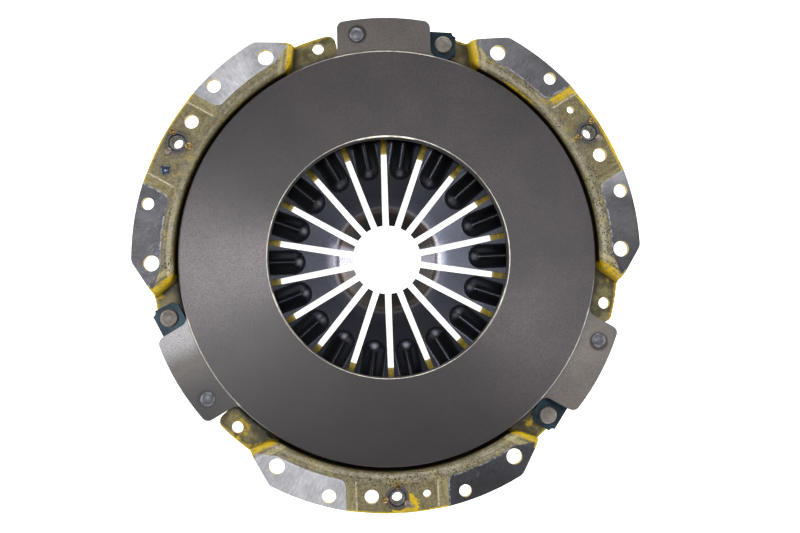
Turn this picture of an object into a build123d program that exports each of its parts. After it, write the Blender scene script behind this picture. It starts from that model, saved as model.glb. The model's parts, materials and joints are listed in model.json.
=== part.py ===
from build123d import *
import os
from math import atan2, cos, degrees, hypot, radians, sin, tan

# Clutch cover assembly, in millimetres.
# The origin is the centre of the bolt flanges' ground mounting plane. +Z points towards the
# flywheel, so the cover opens upwards and its bowl lies below. Angles are measured round Z from +X.

# Layout round the axis
group_count = 3
group_angle = 32.0
lug_angle = 91.4
finger_count = 18
finger_first_angle = 2.0

# Cover sheet, and the reach of the solids that it is cut from
sheet = 4.0
press_bottom_z = -70.0
press_reach_r = 175.0
through = 100.0
pick_distance = 1.0
same_place = 0.01

# Raised bolt flanges of the cover
flange_outer_r = 154.9
flange_width = 24.1
flange_shoulder_r = 6.6
flange_corner_r = 11.0
flange_end_angle = 66.7
flange_end_reach = 5.2
flange_chamfer_start_angle = 29.5
flange_chamfer_end_angle = 35.5
flange_chamfer_inset = 8.9
flange_blank_corner_r = 7.0
recess_depth = 1.4
recess_half_width = 25.0
recess_ramp_length = 5.0
recess_foot_r = 3.0
recess_crest_r = 7.0

# Ears and bowl of the cover
ear_z = -21.6
ear_inset = 8.3
ear_corner_r = 5.0
ear_bend_r = 7.0
wall_clearance = 2.0
gap_start_angle = 80.3
gap_end_angle = 103.7
gap_clearance = 1.0
gap_corner_r = 3.5
floor_z = -36.3
floor_clearance = 1.0
floor_bend_r = 4.0
bead_inset = 4.5
bead_width = 10.0
bead_depth = 2.0
bead_edge_r = 5.0
bead_root_r = 1.0
opening_inset = 14.8
lip_bend_r = 6.0
lip_depth = 8.0

# Holes, as insets from the flange's or ear's rim and angles from the middle of each group
bolt_hole_r = 4.75
bolt_inset = 11.9
bolt_turn_angle = 30.0
side_hole_r = 4.2
far_side_hole_r = 3.75
side_inset = 6.2
side_turn_angle = 16.0
dowel_hole_r = 4.25
dowel_inset = 9.6
dowel_turn_angle = -6.1
balance_hole_r = 2.3
balance_inset = 9.8
balance_turn_angle = 7.1
nut_hole_r = 5.5
nut_inset = 9.1
eye_hole_r = 3.6
eye_inset = 6.2
eye_turn_angle = -43.5

# Cast pressure plate
friction_z = -4.5
plate_clearance = 2.8
plate_bore_r = 74.0
plate_thickness = 12.0
plate_chamfer = 0.8
plate_relief = 2.0
relief_inset = 15.0
relief_slope_width = 4.0
lug_step = 1.2
lug_thickness = 8.0
lug_reach = 21.0
lug_half_width = 29.0
lug_corner_r = 4.5
lug_root_r = 5.5
ridge_inset = 15.0
ridge_base_width = 9.0
ridge_nose_width = 4.8
ridge_nose_r = 2.0
vent_width = 13.0
vent_floor = 1.5

# Diaphragm spring
spring_thickness = 3.0
lever_length = 23.0
rest_cone_angle = 8.0
rim_overhang = 4.0
tip_r = 21.9
tip_bend_start_r = 31.0
tip_bend_r = 14.0
tip_rise = 2.4
slit_width = 0.3
slot_outer_width = 3.6
slot_inner_width = 4.2
window_overlap = 3.5
window_length = 14.0
window_width = 9.0
window_corner_r = 3.0
rib_overlap = 2.5
rib_length = 27.8
rib_width = 11.0
rib_height = 2.5

# Fulcrum rings and rivets
ring_wire = 4.0
ring_offset = 0.15
ring_clearance = 0.3
seat_gap = 0.02
ridge_clearance = 0.36
fulcrum_rivet_clearance = 0.15
fulcrum_rivet_r = 3.5
fulcrum_head_r = 6.8
fulcrum_head_height = 2.2
fulcrum_tail_r = 6.0
fulcrum_tail_height = 2.4
rivet_clearance = 0.05

# Drive straps and their rivets
leaf = 0.8
leaf_gap = 0.02
leaf_count = 3
strap_width = 17.2
strap_end_length = 8.0
strap_notch_r = 2.6
strap_lug_flat = 14.0
strap_ear_flat = 15.2
strap_bend_r = 30.0
lug_rivet_angle = 98.4
lug_rivet_inset = 9.7
lug_rivet_r = 3.0
lug_head_r = 4.35
lug_head_height = 2.0
lug_tail_r = 5.0
lug_tail_height = 2.4
strap_rivet_angle = 75.6
strap_rivet_inset = 6.4
strap_rivet_r = 4.0
strap_head_r = 5.5
strap_head_height = 2.2
strap_tail_r = 5.4
strap_tail_height = 2.4
head_edge_width = 0.6

# Weld nuts and balance rivet
nut_flange_r = 7.5
nut_flange_height = 1.5
nut_body_r = 6.5
nut_body_height = 6.5
nut_collar_r = 5.2
nut_collar_recess = 0.8
nut_thread_r = 3.3
balance_dome_r = 3.25
balance_dome_height = 1.5
balance_shank_r = 2.2

# Radii worked out from the sizes above
flange_wall_r = flange_outer_r - flange_width
ear_outer_r = flange_outer_r - ear_inset
bolt_pitch_r = flange_outer_r - bolt_inset
side_pitch_r = flange_outer_r - side_inset
dowel_pitch_r = flange_outer_r - dowel_inset
balance_pitch_r = flange_outer_r - balance_inset
nut_pitch_r = flange_outer_r - nut_inset
eye_pitch_r = ear_outer_r - eye_inset
strap_rivet_pitch_r = ear_outer_r - strap_rivet_inset
plate_outer_r = flange_wall_r - plate_clearance
gap_inner_r = plate_outer_r + gap_clearance
ear_bend_start_r = plate_outer_r + wall_clearance
lug_outer_r = plate_outer_r + lug_reach
lug_rivet_pitch_r = lug_outer_r - lug_rivet_inset
ridge_r = plate_outer_r - ridge_inset
relief_outer_r = ridge_r - relief_inset
hinge_r = ridge_r - lever_length
rim_r = ridge_r + rim_overhang
window_outer_r = hinge_r + window_overlap
window_inner_r = window_outer_r - window_length
rib_outer_r = window_inner_r + rib_overlap
rib_inner_r = rib_outer_r - rib_length
floor_r = rim_r + floor_clearance
bead_outer_r = ridge_r - bead_inset
bead_inner_r = bead_outer_r - bead_width
ring_r = hinge_r + ring_offset
fulcrum_rivet_pitch_r = ring_r - ring_wire / 2 - fulcrum_rivet_clearance - fulcrum_rivet_r
opening_r = fulcrum_rivet_pitch_r - opening_inset

# Heights, pitches and angles worked out from the sizes above
ear_back_z = ear_z - sheet
floor_back_z = floor_z - sheet
lip_z = floor_back_z - lip_depth / 2
recess_z = -recess_depth
plate_back_z = friction_z - plate_thickness
lug_z = friction_z - lug_step
lug_back_z = lug_z - lug_thickness
finger_pitch = 360 / finger_count
hinge_z = floor_z + ring_wire + ring_clearance + spring_thickness / 2
ring_top_z = hinge_z + spring_thickness / 2 + ring_clearance + ring_wire
strap_pack = leaf_count * leaf + (leaf_count + 1) * leaf_gap
group_angles = [group_angle + 360 / group_count * i for i in range(group_count)]
strap_angles = [360 / group_count * i for i in range(group_count)]
finger_angles = [finger_first_angle + finger_pitch * i for i in range(finger_count)]
slot_angles = [angle + finger_pitch / 2 for angle in finger_angles]
fulcrum_rivet_angles = slot_angles[1::2]


def polar(radius, angle):
    """Plan coordinates of a point given by its radius and angle."""
    return radius * cos(radians(angle)), radius * sin(radians(angle))


def at(radius, angle, z=0.0):
    """Location of a point given by its radius, angle and height, turned to face outwards."""
    return Rot(0, 0, angle) * Pos(radius, 0, z)


def shifted_line(points, radii, depth):
    """A bent line through points, moved to its left by depth, with its bend radii to match."""
    runs = [(b[0] - a[0], b[1] - a[1]) for a, b in zip(points, points[1:])]
    sides = [(-dy / hypot(dx, dy), dx / hypot(dx, dy)) for dx, dy in runs]
    moved = [(points[0][0] + sides[0][0] * depth, points[0][1] + sides[0][1] * depth)]
    bends = []
    for point, before, after, radius in zip(points[1:], sides, sides[1:], radii):
        spread = depth / (1 + before[0] * after[0] + before[1] * after[1])
        moved.append((point[0] + (before[0] + after[0]) * spread,
                      point[1] + (before[1] + after[1]) * spread))
        turns_left = before[0] * after[1] - before[1] * after[0] > 0
        bends.append(radius - depth if turns_left else radius + depth)
    moved.append((points[-1][0] + sides[-1][0] * depth, points[-1][1] + sides[-1][1] * depth))
    return FilletPolyline(*moved, radius=bends)


def revolved(*outline):
    """A solid of revolution about Z from a closed outline of radius and height points."""
    return revolve(Plane.XZ * make_face(Polyline(*outline, close=True)), Axis.Z)


def rounded_at(sketch, radius, chosen):
    """The sketch with the corners that chosen picks rounded to radius."""
    return fillet([corner for corner in sketch.vertices() if chosen(corner)], radius)


def plan_radius(corner):
    return hypot(corner.X, corner.Y)


def raised_group(depth):
    """Metal below one raised bolt flange that faces +X, with its skin moved in by depth."""
    end_x, end_y = polar(flange_outer_r - flange_chamfer_inset, flange_chamfer_end_angle)
    lean = radians(flange_end_angle)
    apex = end_x - end_y / tan(lean) + (depth - flange_end_reach) / sin(lean)
    reach = 2 * press_reach_r
    wedge = make_face(Polyline((apex, 0), (apex + reach * cos(lean), -reach * sin(lean)),
                               (apex + reach * cos(lean), reach * sin(lean)), close=True))
    wall_r = flange_wall_r + depth
    plan = (Rot(0, 0, 180) * (Circle(press_reach_r) - Circle(wall_r))) & wedge
    is_wall_end = lambda corner: plan_radius(corner) < wall_r + pick_distance
    plan = rounded_at(plan, flange_corner_r - depth, is_wall_end)
    block = Pos(0, 0, press_bottom_z) * extrude(plan, -press_bottom_z - depth)
    block = fillet(block.edges().group_by(Axis.Z)[-1], flange_shoulder_r - depth)
    slope = atan2(recess_depth, recess_ramp_length)
    foot = recess_half_width - recess_foot_r * tan(slope / 2)
    crest = recess_half_width + recess_ramp_length + recess_crest_r * tan(slope / 2)
    lower_bend = JernArc((foot, -depth - recess_depth), (1, 0), recess_foot_r + depth, degrees(slope))
    upper_bend = JernArc((crest, -depth), (-1, 0), recess_crest_r - depth, degrees(slope))
    outline = [lower_bend, Line(lower_bend @ 1, upper_bend @ 1), upper_bend,
               Polyline((crest, -depth), (crest, recess_depth), (0, recess_depth), (0, press_bottom_z),
                        (foot, press_bottom_z), (foot, -depth - recess_depth))]
    half_channel = extrude(Plane.YZ * make_face(outline), press_reach_r)
    pads = block - half_channel - mirror(half_channel, about=Plane.XZ)
    return pads + Pos(0, 0, -recess_depth) * block


def bowl(depth):
    """Metal below the ears and the bowl's floor, with its skin moved in by depth."""
    skin = [(press_reach_r, ear_z), (ear_bend_start_r, ear_z), (floor_r, floor_z),
            (bead_outer_r, floor_z), (bead_outer_r - bead_depth, floor_z - bead_depth),
            (bead_inner_r + bead_depth, floor_z - bead_depth), (bead_inner_r, floor_z),
            (opening_r, floor_z), (opening_r, press_bottom_z)]
    bends = [ear_bend_r, floor_bend_r, bead_edge_r, bead_root_r, bead_root_r, bead_edge_r, lip_bend_r]
    line = shifted_line(skin, bends, depth)
    corner = (press_reach_r, press_bottom_z)
    face = make_face(line + Line(line @ 1, corner) + Line(corner, line @ 0))
    return revolve(Plane.XZ * face, Axis.Z)


def cover_blank():
    """Plan outline of the cover: a round blank with three gaps for the lugs and three wider flanges."""
    gap = make_face(Polyline((0, 0), polar(press_reach_r, gap_start_angle),
                             polar(press_reach_r, gap_end_angle), close=True))
    gap = gap - Circle(gap_inner_r)
    gap = rounded_at(gap, gap_corner_r, lambda corner: plan_radius(corner) < gap_inner_r + pick_distance)
    blank = Circle(ear_outer_r)
    for angle in strap_angles:
        blank = blank - Rot(0, 0, angle) * gap
    is_ear_end = lambda corner: plan_radius(corner) > ear_outer_r - pick_distance and corner.Y != 0
    blank = rounded_at(blank, ear_corner_r, is_ear_end)
    start = Vector(*polar(flange_outer_r, flange_chamfer_start_angle))
    end = Vector(*polar(flange_outer_r - flange_chamfer_inset, flange_chamfer_end_angle))
    beyond = end + (start - end) * ((press_reach_r - end.X) / (start.X - end.X))
    cut = make_face(Polyline((0, 0), (end.X, end.Y), (beyond.X, beyond.Y), (beyond.X, -beyond.Y),
                             (end.X, -end.Y), close=True))
    flange = Rot(0, 0, 180) * Circle(flange_outer_r) & cut
    is_chamfer_corner = lambda corner: plan_radius(corner) > flange_outer_r - pick_distance
    flange = rounded_at(flange, flange_blank_corner_r, is_chamfer_corner)
    for angle in group_angles:
        blank = blank + Rot(0, 0, angle) * flange
    return blank


def cover():
    """Pressed steel cover with its flanges, recesses, ears, bowl, lip and holes."""
    outside = bowl(0)
    inside = bowl(sheet)
    for angle in group_angles:
        outside = outside + Rot(0, 0, angle) * raised_group(0)
        inside = inside + Rot(0, 0, angle) * raised_group(sheet)
    blank = Pos(0, 0, lip_z) * extrude(cover_blank(), through)
    shell = (outside - inside) & blank
    cuts = []
    for angle in group_angles:
        for offset in (-bolt_turn_angle, bolt_turn_angle):
            cuts.append(at(bolt_pitch_r, angle + offset) * Cylinder(bolt_hole_r, through))
        cuts.append(at(side_pitch_r, angle - side_turn_angle) * Cylinder(side_hole_r, through))
        cuts.append(at(side_pitch_r, angle + side_turn_angle) * Cylinder(far_side_hole_r, through))
        cuts.append(at(dowel_pitch_r, angle + dowel_turn_angle) * Cylinder(dowel_hole_r, through))
        cuts.append(at(balance_pitch_r, angle + balance_turn_angle) * Cylinder(balance_hole_r, through))
        cuts.append(at(nut_pitch_r, angle) * Cylinder(nut_hole_r, through))
        cuts.append(at(eye_pitch_r, angle + eye_turn_angle) * Cylinder(eye_hole_r, through))
    for angle in strap_angles:
        hole = Cylinder(strap_rivet_r + rivet_clearance, through)
        cuts.append(at(strap_rivet_pitch_r, angle + strap_rivet_angle) * hole)
    for angle in fulcrum_rivet_angles:
        hole = Cylinder(fulcrum_rivet_r + rivet_clearance, through)
        cuts.append(at(fulcrum_rivet_pitch_r, angle) * hole)
    return shell - cuts


def pressure_plate():
    """Cast ring with its friction face, three lugs and the interrupted ridge that the spring pushes."""
    relief_z = plate_back_z + plate_relief
    body = revolved((plate_bore_r, friction_z - plate_chamfer), (plate_bore_r + plate_chamfer, friction_z),
                    (plate_outer_r - plate_chamfer, friction_z), (plate_outer_r, friction_z - plate_chamfer),
                    (plate_outer_r, plate_back_z + plate_chamfer),
                    (plate_outer_r - plate_chamfer, plate_back_z),
                    (relief_outer_r, plate_back_z), (relief_outer_r - relief_slope_width, relief_z),
                    (plate_bore_r + plate_chamfer, relief_z), (plate_bore_r, relief_z + plate_chamfer))
    lug = Pos(press_reach_r / 2, 0) * Rectangle(press_reach_r, 2 * lug_half_width)
    lug = lug & Rot(0, 0, 180) * Circle(lug_outer_r)
    plan = Rot(0, 0, 180 + lug_angle) * Circle(plate_outer_r)
    for angle in strap_angles:
        plan = plan + Rot(0, 0, lug_angle + angle) * lug
    plan = rounded_at(plan, lug_corner_r, lambda corner: plan_radius(corner) > lug_outer_r - pick_distance)
    plan = rounded_at(plan, lug_root_r, lambda corner: abs(plan_radius(corner) - plate_outer_r) < same_place)
    lugs = Pos(0, 0, lug_back_z) * extrude(plan - Circle(relief_outer_r), lug_thickness)
    nose_z = ridge_z()
    inner_foot = (ridge_r - ridge_base_width / 2, plate_back_z)
    outer_foot = (ridge_r + ridge_base_width / 2, plate_back_z)
    ridge = make_face(Polyline(inner_foot, (ridge_r - ridge_nose_width / 2, nose_z),
                               (ridge_r + ridge_nose_width / 2, nose_z), outer_foot, close=True))
    ridge = rounded_at(ridge, ridge_nose_r, lambda corner: corner.Y < nose_z + same_place)
    ridge = revolve(Plane.XZ * ridge, Axis.Z)
    vent_depth = plate_back_z - vent_floor - nose_z
    vent = Box(2 * ridge_base_width, vent_width, vent_depth)
    vents = [at(ridge_r, angle, nose_z + vent_depth / 2) * vent for angle in slot_angles]
    hole = Cylinder(lug_rivet_r + rivet_clearance, through)
    holes = [at(lug_rivet_pitch_r, angle + lug_rivet_angle) * hole for angle in strap_angles]
    return body + lugs + (ridge - vents) - holes


def ridge_z():
    """Height of the ridge's nose, just clear of the spring where it lies at rest."""
    cone = radians(rest_cone_angle)
    arm = (ridge_r - hinge_r) / cos(cone)
    return hinge_z + arm * sin(cone) + spring_thickness / 2 * cos(cone) + ridge_clearance


def finger_plan():
    """Flat outline of one finger along +X, from its narrow tip to its share of the spring's rim."""
    half = finger_pitch / 2
    beyond = rim_r / cos(radians(half)) + pick_distance
    sector = make_face(Polyline((0, 0), polar(beyond, -half), polar(beyond, half), close=True))
    plan = sector & (Circle(rim_r) - Circle(tip_r))
    window_r = (window_inner_r + window_outer_r) / 2
    slit = Pos(rim_r / 2, 0) * Rectangle(2 * rim_r, slit_width)
    slot = make_face(Polyline((0, -slot_inner_width / 2), (window_r, -slot_outer_width / 2),
                              (window_r, slot_outer_width / 2), (0, slot_inner_width / 2), close=True))
    window = Pos(window_r, 0) * RectangleRounded(window_length, window_width, window_corner_r)
    opening = slit + slot + window
    return plan - Rot(0, 0, half) * opening - Rot(0, 0, -half) * opening


def rib(depth):
    """Half-round rib along a finger, with a ball at its inner end and its skin moved in by depth."""
    top = spring_thickness / 2
    round_r = (rib_width ** 2 / 4 + rib_height ** 2) / (2 * rib_height)
    centre_z = top + rib_height - round_r
    start = rib_inner_r + rib_width / 2
    length = rib_outer_r - start
    bar = Pos(start + length / 2, 0, centre_z) * Rot(0, 90, 0) * Cylinder(round_r - depth, length)
    return bar + Pos(start, 0, centre_z) * Sphere(round_r - depth)


def flat_finger():
    """One spring finger along +X before it is tilted, with its pressed rib and its raised tip."""
    middle = [(rim_r + pick_distance, 0), (tip_bend_start_r, 0), (tip_r - pick_distance, tip_rise)]
    half = spring_thickness / 2
    upper = shifted_line(middle, [tip_bend_r], -half)
    lower = shifted_line(middle, [tip_bend_r], half)
    strip = make_face(upper + lower + Line(upper @ 0, lower @ 0) + Line(upper @ 1, lower @ 1))
    sheet_metal = extrude(Plane.XZ * strip, rim_r, both=True)
    prism = Pos(0, 0, -rim_r / 2) * extrude(finger_plan(), rim_r)
    pressed = sheet_metal & prism
    above = Pos(rim_r / 2, 0, rim_r / 2) * Box(rim_r, rim_r, rim_r)
    return pressed + (rib(0) & above) - rib(spring_thickness)


def diaphragm_fingers():
    """All fingers, tilted about the hinge circle to the cone that the spring has at rest."""
    finger = Pos(hinge_r, 0, hinge_z) * Rot(0, -rest_cone_angle, 0) * Pos(-hinge_r, 0, 0) * flat_finger()
    return [Rot(0, 0, angle) * finger for angle in finger_angles]


def fulcrum_ring(z):
    """One round wire ring with its middle at height z."""
    return Pos(0, 0, z) * Torus(ring_r, ring_wire / 2)


def rivet_head(radius, height, up):
    """A rivet head with a bevelled rim, from z 0 upwards, or downwards if up is -1."""
    head = revolved((0, 0), (radius, 0), (radius, height - head_edge_width),
                    (radius - head_edge_width, height), (0, height))
    return head if up > 0 else Rot(180, 0, 0) * head


def rivet(shank_r, top_z, bottom_z, head, tail):
    """A rivet along Z between two faces, with a head (radius, height) on each."""
    shank = Pos(0, 0, bottom_z) * extrude(Circle(shank_r), top_z - bottom_z)
    return shank + Pos(0, 0, top_z) * rivet_head(*head, 1) + Pos(0, 0, bottom_z) * rivet_head(*tail, -1)


def fulcrum_rivets():
    """The rivets that clamp both rings to the bowl's floor through the spring's windows."""
    one = rivet(fulcrum_rivet_r, ring_top_z + seat_gap, floor_back_z, (fulcrum_head_r, fulcrum_head_height),
                (fulcrum_tail_r, fulcrum_tail_height))
    return [at(fulcrum_rivet_pitch_r, angle) * one for angle in fulcrum_rivet_angles]


def lug_rivets():
    """The rivets that hold the strap ends under the lugs."""
    one = rivet(lug_rivet_r, lug_z, lug_back_z - strap_pack, (lug_head_r, lug_head_height),
                (lug_tail_r, lug_tail_height))
    return [at(lug_rivet_pitch_r, angle + lug_rivet_angle) * one for angle in strap_angles]


def strap_cover_rivets():
    """The rivets with large flat heads that hold the strap ends on the ears."""
    one = rivet(strap_rivet_r, ear_z + strap_pack, ear_back_z, (strap_head_r, strap_head_height),
                (strap_tail_r, strap_tail_height))
    return [at(strap_rivet_pitch_r, angle + strap_rivet_angle) * one for angle in strap_angles]


def strap_leaf(index):
    """One leaf of the first drive strap pack, counted from the flywheel side."""
    start = Vector(*polar(lug_rivet_pitch_r, lug_rivet_angle))
    end = Vector(*polar(strap_rivet_pitch_r, strap_rivet_angle))
    length = (end - start).length
    heading = degrees(atan2(end.Y - start.Y, end.X - start.X))
    high = lug_back_z - leaf_gap - index * (leaf + leaf_gap)
    low = ear_z + strap_pack - leaf_gap - index * (leaf + leaf_gap)
    reach = length + strap_end_length
    path = [(-strap_width, high), (strap_lug_flat, high), (length - strap_ear_flat, low),
            (reach + pick_distance, low)]
    upper = FilletPolyline(*path, radius=strap_bend_r)
    lower = Pos(0, -leaf) * upper
    side = make_face(upper + lower + Line(upper @ 0, lower @ 0) + Line(upper @ 1, lower @ 1))
    plan = Circle(strap_width / 2) + Pos(reach / 2, 0) * Rectangle(reach, strap_width)
    for edge in (-strap_width / 2, strap_width / 2):
        plan = plan - Pos(reach, edge) * Circle(strap_notch_r)
    plan = plan - Circle(lug_rivet_r + rivet_clearance)
    plan = plan - Pos(length, 0) * Circle(strap_rivet_r + rivet_clearance)
    prism = Pos(0, 0, low - strap_width) * extrude(plan, 3 * strap_width)
    band = extrude(Plane.XZ * side, strap_width, both=True)
    return Pos(start.X, start.Y, 0) * Rot(0, 0, heading) * (band & prism)


def weld_nuts():
    """Flanged nuts behind the recesses, each with a collar in its hole."""
    seat = recess_z - sheet
    one = revolved((nut_thread_r, recess_z - nut_collar_recess), (nut_collar_r, recess_z - nut_collar_recess),
                   (nut_collar_r, seat), (nut_flange_r, seat), (nut_flange_r, seat - nut_flange_height),
                   (nut_body_r, seat - nut_flange_height), (nut_body_r, seat - nut_body_height),
                   (nut_thread_r, seat - nut_body_height))
    return [at(nut_pitch_r, angle) * one for angle in group_angles]


def balance_rivet():
    """The small domed rivet in one of the three balance holes."""
    dome_sphere_r = (balance_dome_r ** 2 + balance_dome_height ** 2) / (2 * balance_dome_height)
    cap = Pos(0, 0, balance_dome_height - dome_sphere_r) * Sphere(dome_sphere_r)
    dome = cap & Pos(0, 0, dome_sphere_r) * Box(4 * dome_sphere_r, 4 * dome_sphere_r, 2 * dome_sphere_r)
    shank = Pos(0, 0, -sheet) * extrude(Circle(balance_shank_r), sheet)
    tail = Pos(0, 0, -sheet - balance_dome_height) * extrude(Circle(balance_dome_r), balance_dome_height)
    return at(balance_pitch_r, group_angles[1] + balance_turn_angle, recess_z) * (dome + shank + tail)


def save(name, pieces):
    """Write one node, made of one solid or several."""
    solids = pieces if isinstance(pieces, list) else [pieces]
    export_step(solids[0] if len(solids) == 1 else Compound(children=solids), f"parts/{name}.step")


os.makedirs("parts", exist_ok=True)
save("cover", cover())
save("pressure_plate", pressure_plate())
save("lug_rivets", lug_rivets())
save("strap_cover_rivets", strap_cover_rivets())
for leaf_index in range(leaf_count):
    first = strap_leaf(leaf_index)
    for pack_index, turn in enumerate(strap_angles):
        save(f"drive_strap_{pack_index + 1}_leaf_{leaf_index + 1}", Rot(0, 0, turn) * first)
save("fulcrum_ring_rear", fulcrum_ring(floor_z + seat_gap + ring_wire / 2))
save("fulcrum_ring_front", fulcrum_ring(ring_top_z - ring_wire / 2))
save("fulcrum_rivets", fulcrum_rivets())
save("weld_nuts", weld_nuts())
save("balance_rivet", balance_rivet())
for finger_index, finger_solid in enumerate(diaphragm_fingers()):
    save(f"diaphragm_finger_{finger_index + 1:02d}", finger_solid)
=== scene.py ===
import json
from math import atan2, cos, pi, radians, sin

import bmesh
import bpy
from bpy.props import FloatProperty, FloatVectorProperty, IntProperty, PointerProperty
from mathutils import Euler, Matrix, Vector, noise

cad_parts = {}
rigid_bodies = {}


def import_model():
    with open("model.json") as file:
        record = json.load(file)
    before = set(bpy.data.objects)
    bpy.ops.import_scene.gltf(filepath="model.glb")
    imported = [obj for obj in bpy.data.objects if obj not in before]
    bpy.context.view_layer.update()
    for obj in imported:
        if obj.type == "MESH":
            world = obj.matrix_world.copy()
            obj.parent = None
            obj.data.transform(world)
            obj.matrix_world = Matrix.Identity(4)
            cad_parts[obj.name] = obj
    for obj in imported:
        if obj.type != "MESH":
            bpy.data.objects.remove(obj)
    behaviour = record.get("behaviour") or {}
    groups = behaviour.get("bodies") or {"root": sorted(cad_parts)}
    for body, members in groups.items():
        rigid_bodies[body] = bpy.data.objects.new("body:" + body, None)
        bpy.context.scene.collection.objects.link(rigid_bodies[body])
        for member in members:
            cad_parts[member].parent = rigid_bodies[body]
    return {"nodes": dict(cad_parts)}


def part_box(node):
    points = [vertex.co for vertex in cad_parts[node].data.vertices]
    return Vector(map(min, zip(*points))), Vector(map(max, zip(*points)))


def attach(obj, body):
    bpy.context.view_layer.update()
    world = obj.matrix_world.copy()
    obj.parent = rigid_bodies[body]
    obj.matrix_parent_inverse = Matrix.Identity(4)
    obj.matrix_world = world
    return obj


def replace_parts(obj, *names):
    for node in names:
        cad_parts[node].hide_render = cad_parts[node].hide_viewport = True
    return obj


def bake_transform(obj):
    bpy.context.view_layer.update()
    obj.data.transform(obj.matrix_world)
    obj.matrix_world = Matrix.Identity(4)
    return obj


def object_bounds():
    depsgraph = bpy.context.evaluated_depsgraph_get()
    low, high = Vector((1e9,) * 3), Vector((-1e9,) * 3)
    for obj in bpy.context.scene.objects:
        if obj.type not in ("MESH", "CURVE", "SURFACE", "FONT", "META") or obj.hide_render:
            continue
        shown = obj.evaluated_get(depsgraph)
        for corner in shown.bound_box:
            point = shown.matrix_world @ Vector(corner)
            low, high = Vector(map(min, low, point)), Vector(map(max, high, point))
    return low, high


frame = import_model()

bl_info = {
    "name": "Clutch pressure plate",
    "version": (1, 0, 0),
    "blender": (4, 5, 0),
    "location": "View3D > Sidebar > Clutch",
    "description": "Builds the finished clutch cover assembly over its solid model",
    "category": "Add Mesh",
}

CAD_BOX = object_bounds()
MM = 0.001
JOIN, FINE_JOIN = 1e-6, 1e-7    # metres below which points count as one, the finer in turned or cut shapes
GROUP_ANGLES = (32.0, 152.0, 272.0)
PACK_TURNS = (0.0, 120.0, 240.0)
THIRD = 120.0
FINGERS = sorted(name for name in frame["nodes"] if name.startswith("diaphragm_finger_"))

# Places in millimetres and degrees: radius and angle, or the radius alone where each group has one
LUG_RIVET = (139.3, 98.4)
STRAP_RIVET = (140.2, 75.6)
BALANCE_RIVET = (145.1, 159.1)
NUT_RADIUS = 145.8
FULCRUM_RIVET_RADIUS = 84.5
LUG_MIDDLE = 91.4
FREE_FROM_LUG, FREE_FROM_EAR = 14.0, 15.2    # beside its two rivets a strap leaf stays straight this far
FIRST_FINGER, FINGER_STEP = 2.0, 20.0
RIB_START = 60.1

# Two lines of a flange, along and across its group: a point in millimetres and the outward direction
CUT_CORNER = ((134.8, 76.3), (0.4714, 0.882))
END_WALL = ((118.9, 84.8), (-0.918, 0.396))

# The camera that was fitted to the photograph, in metres and degrees
CAMERA_PLACE, CAMERA_TURN = (-0.0248, -0.0399, 0.585), (3.27, -3.06, 0.0)
FOCAL_PIXELS, PICTURE_WIDTH, SENSOR_WIDTH = 965.8, 800, 36.0

# Strengths and tones round the axis, as (degrees, value) stops: the pale crest of the
# shoulders, the crowding of the pits, the grey of the ground pads and the brightness of the friction face
# The crest stops set how strong the painted highlight along the shoulders is
CREST_HIGHLIGHT_STOPS = [
    (0, 0.8), (14, 0.5), (24, 0.3), (60, 0.7), (100, 0.3), (140, 0.15), (165, 0.4), (176, 1.0), (188, 1.0),
    (196, 0.5), (240, 0.3), (272, 0.4), (290, 0.3), (345, 0.6), (360, 0.8)]
PIT_STOPS = [
    (0, 0.9), (21, 0.8), (34, 0.3), (46, 0.3), (53, 0.7), (60, 0.5), (68, 0.1), (120, 0.35), (150, 0.3),
    (184, 0.5), (196, 0.6), (206, 0.1), (240, 0.2), (255, 0.7), (272, 1.0), (287, 0.7), (297, 0.25),
    (336, 0.2), (348, 0.8), (360, 0.9)]
# The pad stops mix real polish with painted reflection, lighter and darker round the axis
PAD_POLISH_AND_REFLECTION_STOPS = [
    (1, 76), (14, 86), (20, 150), (44, 92), (53, 94), (60, 112), (70, 116), (118, 166), (129, 186),
    (138, 172), (142, 120), (160, 80), (170, 78), (186, 84), (238, 156), (250, 184), (259, 174), (263, 128),
    (282, 56), (294, 50), (308, 66)]
# The face stops are painted reflection: the friction face lighter and darker in sectors round the axis
FACE_REFLECTION_STOPS = [
    (0, 0.42), (30, 0.48), (60, 0.56), (90, 0.62), (120, 0.47), (140, 0.33), (155, 0.3), (168, 0.6),
    (180, 1.0), (192, 0.8), (205, 0.36), (222, 0.2), (240, 0.2), (270, 0.27), (300, 0.32), (315, 0.5),
    (330, 0.8), (345, 0.62), (360, 0.42)]


def tone(red, green, blue):
    """Linear colour from the 0 to 255 values of a picture."""
    def linear(value):
        share = value / 255
        return share / 12.92 if share <= 0.04045 else ((share + 0.055) / 1.055) ** 2.4
    return linear(red), linear(green), linear(blue)


def polar(radius, angle, height=0.0):
    """Point in metres from a radius and height in millimetres and an angle in degrees."""
    return Vector((radius * cos(radians(angle)), radius * sin(radians(angle)), height)) * MM


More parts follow.
